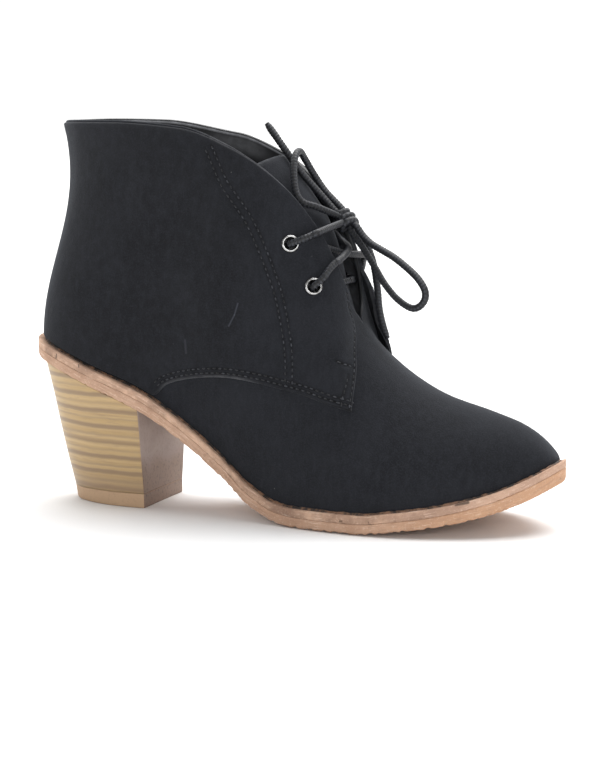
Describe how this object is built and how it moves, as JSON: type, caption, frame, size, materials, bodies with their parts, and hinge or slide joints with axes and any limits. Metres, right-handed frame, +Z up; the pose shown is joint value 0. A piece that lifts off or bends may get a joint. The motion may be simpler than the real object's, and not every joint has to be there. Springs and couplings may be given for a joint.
{
  "type": "ankle boot",
  "caption": "Black nubuck lace-up ankle boot for the right foot, with a pale sole edge and a stacked block heel.",
  "frame": {"origin": "middle of the sole's length and width, on the floor", "axes": "+X towards the toe, +Y towards the inner side of the foot, +Z up"},
  "size_m": [0.248, 0.0816, 0.1729],
  "materials": {
    "nubuck": "dull nap, scuffed",
    "lining": "smooth, half gloss",
    "sole_edge": "matt, crumbly",
    "stacked_heel": "layered, satin",
    "top_lift": "matt",
    "nickel": "worn plate",
    "lace": "waxed cord"
  },
  "bodies": {
    "root": {"outsole": "sole_edge", "midsole": "sole_edge", "insole": "lining", "heel_block": "stacked_heel", "heel_top_lift": "top_lift", "upper": "nubuck", "quarter_outer": "nubuck", "quarter_inner": "nubuck", "tongue": "nubuck", "eyelet_outer_low": "nickel", "eyelet_outer_high": "nickel", "eyelet_inner_low": "nickel", "eyelet_inner_high": "nickel", "lace_bar": "lace", "lace_cross": "lace", "lace_knot": "lace", "lace_loop_near": "lace", "lace_loop_far": "lace", "lace_end_near": "lace", "lace_end_far": "lace"}
  },
  "joints": []
}
